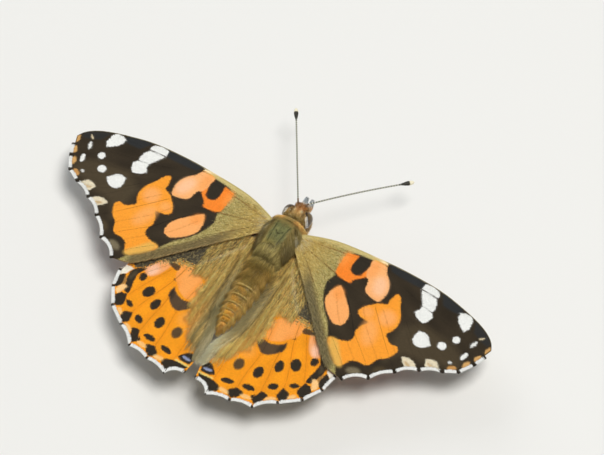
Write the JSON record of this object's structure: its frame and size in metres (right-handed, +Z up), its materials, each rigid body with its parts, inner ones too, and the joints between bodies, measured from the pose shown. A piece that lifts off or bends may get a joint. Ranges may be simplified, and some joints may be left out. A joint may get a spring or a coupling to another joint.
{
  "type": "painted lady butterfly",
  "caption": "Life-size butterfly standing with wings spread flat: scalloped wings, club-tipped antennae, furry body, walking legs.",
  "frame": {"origin": "on the floor, under the middle of the insect's bounding box", "axes": "+Z up, -Y ahead (the head's way), +X towards the insect's left wings"},
  "size_m": [0.0629, 0.0422, 0.0095],
  "materials": {
    "body_coat": "matte",
    "forewing_scales": "matte",
    "hindwing_scales": "matte",
    "eye": "gloss",
    "antenna": "satin",
    "limb": "satin"
  },
  "bodies": {
    "root": {"head": "body_coat", "thorax": "body_coat", "abdomen": "body_coat", "eye_left": "eye", "eye_right": "eye", "palp_left": "body_coat", "palp_right": "body_coat", "proboscis": "limb", "antenna_left": "antenna", "antenna_right": "antenna", "forewing_left": "forewing_scales", "forewing_right": "forewing_scales", "hindwing_left": "hindwing_scales", "hindwing_right": "hindwing_scales", "foreleg_left": "limb", "foreleg_right": "limb", "midleg_left": "limb", "midleg_right": "limb", "hindleg_left": "limb", "hindleg_right": "limb"}
  },
  "joints": []
}
